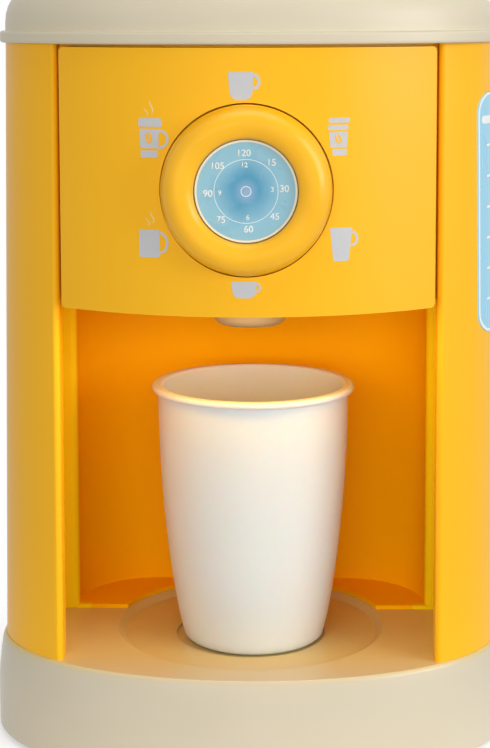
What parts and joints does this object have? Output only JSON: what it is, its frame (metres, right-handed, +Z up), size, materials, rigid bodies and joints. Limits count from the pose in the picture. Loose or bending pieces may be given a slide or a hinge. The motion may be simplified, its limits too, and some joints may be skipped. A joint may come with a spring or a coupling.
{
  "type": "toy coffee maker",
  "caption": "Toy coffee maker with a bowed front, a turning ring dial over the cup bay, a round spout, a tray with a cup well, a tank under a domed lid and a tapered cup.",
  "frame": {"origin": "middle of the footprint on the table, under the centre of the overall box", "axes": "+X to the machine's right seen from the front, +Y to its back, +Z up; the dial faces -Y"},
  "size_m": [0.17, 0.1342, 0.2544],
  "materials": {
    "base_tray": "beige satin moulding",
    "base_cover": "beige satin moulding",
    "rubber_feet": "dark soft rubber",
    "base_screws": "plated screw",
    "casing_shell": "warm yellow satin moulding",
    "casing_screws": "plated screw",
    "alcove_liner": "warm yellow satin moulding",
    "front_panel": "warm yellow satin moulding with pale grey print",
    "panel_screws": "plated screw",
    "head_floor": "warm yellow satin moulding",
    "head_screws": "plated screw",
    "level_gauge": "pale blue printed strip with a white border",
    "panel_bush": "white slippery plastic",
    "click_spring": "bent spring steel strip",
    "spring_screw": "plated screw",
    "valve_body": "white moulding",
    "valve_screws": "plated screw",
    "outlet_tube": "soft pale tube",
    "spout_nozzle": "beige satin moulding",
    "spout_nut": "beige satin moulding",
    "water_tank": "pale translucent moulding",
    "tank_gasket": "dark soft rubber",
    "dial_shaft": "white slippery plastic",
    "shaft_clip": "spring steel clip",
    "click_wheel": "white slippery plastic",
    "dial_knob": "warm yellow satin moulding",
    "knob_screw": "plated screw",
    "dial_disc": "blue printed disc with a cream border",
    "valve_plug": "white slippery plastic",
    "plug_seals": "dark soft rubber",
    "lid_shell": "beige satin moulding",
    "lid_seal": "grey soft rubber",
    "cup": "white satin moulding"
  },
  "bodies": {
    "machine": {"base_tray": "base_tray", "base_cover": "base_cover", "rubber_feet": "rubber_feet", "base_screws": "base_screws", "casing_shell": "casing_shell", "casing_screws": "casing_screws", "alcove_liner": "alcove_liner", "front_panel": "front_panel", "panel_screws": "panel_screws", "head_floor": "head_floor", "head_screws": "head_screws", "level_gauge": "level_gauge", "panel_bush": "panel_bush", "click_spring": "click_spring", "spring_screw": "spring_screw", "valve_body": "valve_body", "valve_screws": "valve_screws", "outlet_tube": "outlet_tube", "spout_nozzle": "spout_nozzle", "spout_nut": "spout_nut", "water_tank": "water_tank", "tank_gasket": "tank_gasket"},
    "dial": {"dial_shaft": "dial_shaft", "shaft_clip": "shaft_clip", "click_wheel": "click_wheel", "dial_knob": "dial_knob", "knob_screw": "knob_screw", "dial_disc": "dial_disc", "valve_plug": "valve_plug", "plug_seals": "plug_seals"},
    "lid": {"lid_shell": "lid_shell", "lid_seal": "lid_seal"},
    "cup": {"cup": "cup"}
  },
  "joints": [
    {"name": "dial_turn", "type": "hinge", "parent": "machine", "child": "dial", "pos_m": [0, -0.00671, 0.1866], "axis": [0, -1, 0], "continuous": true, "deforming": ["click_spring"]},
    {"name": "lid_lift", "type": "slide", "parent": "machine", "child": "lid", "axis": [0, 0, 1], "range_m": [0, 0.05]},
    {"name": "cup_out", "type": "slide", "parent": "machine", "child": "cup", "axis": [0, -0.9563, 0.2924], "range_m": [0, 0.15]}
  ]
}
